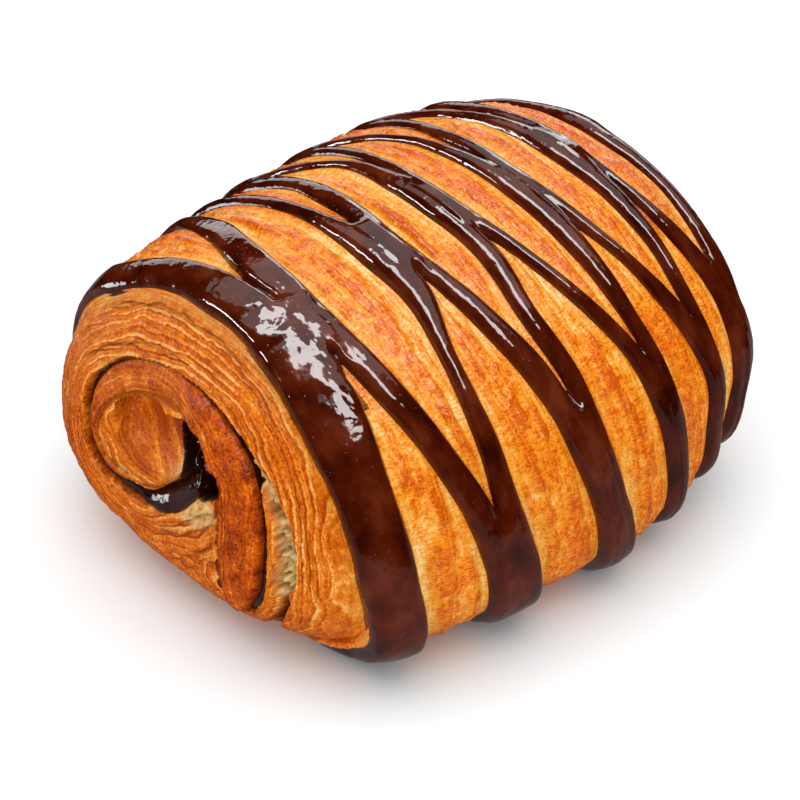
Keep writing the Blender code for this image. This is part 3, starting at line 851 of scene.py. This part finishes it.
def make_layer(material):
    """The chocolate between the layers: a sheet through the roll that widens to a pool."""
    curve = smooth_line(FILLING_LINE, FILLING_STEPS)
    line, half = curve[:, :2], curve[:, 2]
    along = np.linspace(0, 1, FILLING_STEPS)
    step = unit(np.gradient(line, axis=0))
    across = np.stack([-step[:, 1], step[:, 0]], -1)
    half = half + 0.15 + 0.08 * noise(along * 40, 0.5, seed=61)
    half = half * ease(-0.012, 0.01, along) * ease(1.012, 0.985, along)
    pool = ease(0.70, 0.82, along)
    bead = np.linspace(-1, 1, FILLING_SIDES)
    loops = []
    for side in (-1, 1):
        order = bead if side < 0 else -bead
        y = line[:, None, 0] + across[:, None, 0] * half[:, None] * order
        z = line[:, None, 1] + across[:, None, 1] * half[:, None] * order
        dome = (0.35 + 0.75 * pool[:, None]) * np.sqrt(np.clip(1 - order ** 2, 0, 1))
        wave = 0.16 * (1 - 0.7 * pool[:, None]) * noise(y * 0.7, z * 0.7, seed=62)
        sink = FILLING_SINK + pool[:, None] * (0.3 - 1.3 * order) - dome + wave
        loops.append(np.stack([end_reach(y, z, side) - side * sink, y, z], -1))
    points = np.concatenate(loops, axis=1)
    flow = points.reshape(-1, 3)
    faces = tube_faces(*points.shape[:2])
    return make_mesh("chocolate_layer", flow, faces, {"flow": flow}, material)


def make_baton(material):
    """The chocolate baton in the hole, molten and lumpy at both ends."""
    outline = smooth_loop(HOLE, 61)
    centre = outline.mean(axis=0)
    rings = np.linspace(*BATON_SHARES, BATON_RINGS)
    loops = []
    for side in (-1, 1):
        order = rings if side < 0 else rings[::-1]
        for share in order:
            y, z = (centre + (outline - centre) * share).T
            lumps = 0.9 * noise(y * 0.55, z * 0.55, seed=64) + 0.5 * noise(y * 1.3, z * 1.3, seed=65)
            sink = BATON_SINK + lumps + 4.4 * ease(28.0, 32.0, z) + 3.0 * ease(-2.5, 1.5, y)
            loops.append(np.stack([end_reach(y, z, side) - side * sink, y, z], -1))
    points = np.stack(loops)
    flow = points.reshape(-1, 3)
    faces = [face[::-1] for face in tube_faces(*points.shape[:2])]
    return make_mesh("chocolate_baton", flow, faces, {"flow": flow}, material)


def feed(node, inputs):
    """Give a node's inputs, by name or number, their values or another node's output."""
    for key, value in inputs.items():
        if isinstance(value, bpy.types.NodeSocket):
            node.id_data.links.new(value, node.inputs[key])
        else:
            node.inputs[key].default_value = value


def new_material(name):
    """A material with only its shader, and a function that adds and wires nodes."""
    material = bpy.data.materials.new(name)
    material.use_nodes = True
    nodes = material.node_tree.nodes

    def add(kind, inputs=None, **settings):
        node = nodes.new(kind)
        for key, value in settings.items():
            setattr(node, key, value)
        feed(node, inputs or {})
        return node

    return material, nodes["Principled BSDF"], add


def stored(add, name, output="Fac"):
    """A value that the mesh holds at each point."""
    return add("ShaderNodeAttribute", attribute_name=name).outputs[output]


def grey(level):
    """A colour without hue."""
    return level, level, level


def ramp(add, value, *stops):
    """A colour ramp over stops of place and colour."""
    node = add("ShaderNodeValToRGB", {"Fac": value})
    elements = node.color_ramp.elements
    while len(elements) < len(stops):
        elements.new(1.0)
    for element, (place, colour) in zip(elements, stops):
        element.position = place
        element.color = (*colour, 1.0)
    return node.outputs["Color"]


def mixed(add, share, low, high):
    """A colour between two others: the node has its share, then number inputs, then colours."""
    low, high = ((*colour, 1.0) if isinstance(colour, tuple) else colour for colour in (low, high))
    return add("ShaderNodeMix", {0: share, 6: low, 7: high}, data_type="RGBA").outputs[2]


def sums(add, operation, *values):
    """One calculation on one value or more."""
    return add("ShaderNodeMath", dict(enumerate(values)), operation=operation).outputs[0]


def stretched(add, flow, scale, size, detail=3.0):
    """Noise over coordinates that are scaled by an amount for each axis."""
    place = add("ShaderNodeMapping", {"Vector": flow, "Scale": scale}).outputs[0]
    node = add("ShaderNodeTexNoise", {"Vector": place, "Scale": size, "Detail": detail})
    return node.outputs["Fac"]


def eased(add, value, low, high, start=1.0, end=0.0, easing="SMOOTHSTEP"):
    """A value that goes from start to end while another goes from low to high."""
    limits = {"From Min": low, "From Max": high, "To Min": start, "To Max": end}
    return add("ShaderNodeMapRange", {"Value": value, **limits}, interpolation_type=easing).outputs[0]


def veins(add, fac, width):
    """Thin wandering lines where a noise passes its middle, 1 on a line and 0 away from it."""
    return eased(add, sums(add, "ABSOLUTE", sums(add, "SUBTRACT", fac, 0.5)), 0.0, width)


def bumps(add, *layers):
    """Bumps laid over each other, each of a strength, a distance in metres and a height."""
    inputs = {}
    for strength, distance, height in layers:
        inputs.update({"Strength": strength, "Distance": distance, "Height": height})
        inputs["Normal"] = add("ShaderNodeBump", inputs).outputs[0]
    return inputs["Normal"]


def crust_material():
    """Egg-washed laminated dough: golden on the ridges, deep orange between, toasted inside."""
    material, shader, add = new_material("crust")
    flow = stored(add, "flow", "Vector")
    tone, toast, crumb, shade = (stored(add, name) for name in ("tone", "toast", "crumb", "shade"))
    spot = add("ShaderNodeTexCoord").outputs["Object"]

    streaks = stretched(add, flow, (1.0, 0.08, 0.08), 1.2)
    threads = stretched(add, flow, (1.0, 0.07, 0.07), 3.4, 2.0)
    patches = stretched(add, flow, (1.0, 0.5, 0.5), 0.16, 2.0)
    clouds = stretched(add, spot, TO_MM, 0.35, 3.0)
    specks = stretched(add, spot, TO_MM, 2.6, 2.0)
    squiggle = veins(add, stretched(add, spot, TO_MM, 1.15, 1.0), 0.095)
    ticks = veins(add, stretched(add, flow, (0.55, 1.5, 1.5), 1.1, 1.0), 0.11)
    wrinkles_and_glints = sums(add, "MAXIMUM", squiggle, ticks)
    cells = add("ShaderNodeTexVoronoi", {"Vector": spot, "Scale": 760.0}).outputs["Distance"]
    bubbles = eased(add, cells, 0.05, 0.38)

    value = sums(add, "MULTIPLY_ADD", tone, 0.40, -0.18)
    # The wrinkles' pale lines are partly painted highlights on small folds; they also bump the surface
    for detail, weight in ((streaks, 0.45), (sums(add, "SUBTRACT", threads, 0.5), 0.25),
                           (clouds, 0.40), (specks, 0.14), (wrinkles_and_glints, 0.30), (bubbles, 0.14)):
        value = sums(add, "ADD", value, sums(add, "MULTIPLY", detail, weight))
    patchy = sums(add, "MULTIPLY", sums(add, "SUBTRACT", patches, 0.47), 0.45)
    browned = add("ShaderNodeClamp", {"Value": sums(add, "ADD", toast, patchy)}).outputs[0]
    colour = mixed(add, browned, ramp(add, value, *GOLD), ramp(add, value, *TOASTED))
    honeycomb = add("ShaderNodeTexVoronoi", {"Vector": flow, "Scale": 0.9}).outputs["Distance"]
    colour = mixed(add, crumb, colour, ramp(add, honeycomb, *CRUMB))
    # Painted shade: folds, the hole, the notch and the crumb's holes go near black where the shade mask
    # says, and so does the seam's groove, which holds chocolate and lies in shade
    colour = mixed(add, shade, colour, SHADE_AND_CHOCOLATE_DARK)
    rough = ramp(add, clouds, (0.35, grey(0.10)), (0.65, grey(0.24)))
    rough = mixed(add, crumb, rough, grey(0.85))
    gloss = eased(add, toast, 0.0, 0.5, 0.42, 0.13, "LINEAR")
    normal = bumps(add, (0.5, 0.0001, wrinkles_and_glints), (0.8, 0.0006, streaks), (0.5, 0.0001, threads),
                   (0.5, 0.00008, specks), (0.6, 0.00016, bubbles))
    feed(shader, {"Base Color": colour, "Roughness": rough, "Specular IOR Level": gloss,
                  "Normal": normal})
    return material


def chocolate_material(name, shadow):
    """Set dark chocolate: glossy and red-brown, and nearly black by the share in shadow."""
    material, shader, add = new_material(name)
    flow = stored(add, "flow", "Vector")
    cloud = stretched(add, flow, (1.0, 0.5, 1.0), 0.30, 4.0)
    speck = add("ShaderNodeTexVoronoi", {"Vector": flow, "Scale": 1.1}).outputs["Distance"]
    dots = ramp(add, speck, (0.0, grey(1.0)), (0.11, grey(0.0)))
    colour = mixed(add, sums(add, "MULTIPLY", dots, 0.6), ramp(add, cloud, *CHOCOLATE), PALE_DOTS)
    # Painted shade: the colour goes towards near black by the share in shadow
    colour = mixed(add, shadow, colour, CHOCOLATE_IN_SHADE)
    rough = ramp(add, cloud, (0.35, grey(0.05)), (0.75, grey(0.13)))
    swell = stretched(add, flow, (1.0, 0.6, 1.0), 0.35, 2.0)
    beads = stretched(add, flow, (1.0, 0.8, 1.0), 1.0, 1.0)
    normal = bumps(add, (0.35 - 0.3 * shadow, 0.0006, swell), (0.4, 0.00012, beads),
                   (0.3, 0.0001, dots))
    feed(shader, {"Base Color": colour, "Roughness": rough, "Specular IOR Level": 0.58,
                  "Normal": normal})
    return material


def make_floor():
    """A plain white table; the glow lamp under it stands in for its reflection in the glaze."""
    material, shader, _ = new_material("table")
    feed(shader, {"Base Color": (*TABLE_WHITE, 1.0), "Roughness": 0.7, "Specular IOR Level": 0.1})
    turns = np.linspace(0, 2 * math.pi, TABLE_SIDES, endpoint=False)
    points = TABLE_RADIUS * np.stack([np.cos(turns), np.sin(turns), 0 * turns], -1)
    table = make_mesh("table", points, [tuple(range(TABLE_SIDES))], {}, material)
    table.visible_glossy = False


def aim(item, place, target):
    """Put a lamp or camera at a place, turned to a target."""
    item.location = place
    item.rotation_euler = (Vector(place) - Vector(target)).to_track_quat("Z", "Y").to_euler()


def make_lamp(name, place, size, power, mirrored):
    """A soft lamp, level or turned to the roll, that only the gloss or only the colours see."""
    lamp = bpy.data.lights.new(name, "AREA")
    lamp.shape = "RECTANGLE"
    lamp.size, lamp.size_y = size
    lamp.energy = power
    item = new_object(name, lamp)
    item.visible_glossy = mirrored
    item.visible_diffuse = not mirrored
    aim(item, place, LAMP_TARGET)
    if name in LEVEL_LAMPS:
        item.rotation_euler = (0.0, 0.0, 0.0)


def make_studio():
    """Soft light from above and in front, and the panels that show in the gloss."""
    for lamp in LIGHTING_LAMPS:
        make_lamp(*lamp, mirrored=False)
    for lamp in MIRRORED_LAMPS:
        make_lamp(*lamp, mirrored=True)
    world = bpy.data.worlds.new("surroundings")
    world.use_nodes = True
    feed(world.node_tree.nodes["Background"], {"Color": (*grey(SURROUNDINGS_GREY), 1.0)})
    world.cycles_visibility.glossy = False
    scene = bpy.context.scene
    scene.world = world
    scene.view_settings.view_transform = "Standard"


def make_camera():
    """The photo's view: a long lens, looking down on the roll from its near end and front."""
    rise, turn = math.radians(CAMERA_RISE), math.radians(CAMERA_TURN)
    back = Vector((math.sin(turn) * math.cos(rise), -math.cos(turn) * math.cos(rise), math.sin(rise)))
    right = Vector((math.cos(turn), math.sin(turn), 0.0))
    up = back.cross(right)
    target = (AIM + right * AIM_RIGHT + up * AIM_UP) * MM
    camera = bpy.data.cameras.new("camera")
    camera.lens = CAMERA_LENS
    camera.sensor_width = CAMERA_SENSOR
    camera.clip_start = CAMERA_CLIP
    item = new_object("camera", camera)
    aim(item, target + back * CAMERA_DISTANCE * MM, target)
    bpy.context.scene.camera = item


def dress():
    """Make every piece, hide the solid that it replaces, and hang it on the root body."""
    crust = crust_material()
    pieces = [make_side(crust), make_end("near_end", -1, NEAR_RINGS, crust),
              make_end("far_end", 1, FAR_RINGS, crust)]
    drizzle = make_drizzle(chocolate_material("drizzle", 0.0))
    # The filling lies in the seam and the hole: its colour is painted three quarters of the way to near
    # black, as shade
    filling = chocolate_material("filling", 0.75)
    sweet = [make_layer(filling), make_baton(filling)]
    for piece in pieces + [drizzle]:
        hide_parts("pastry")
        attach(piece, "root")
    for piece in sweet:
        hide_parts("chocolate_filling")
        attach(piece, "root")


make_camera()
make_studio()
make_floor()
dress()
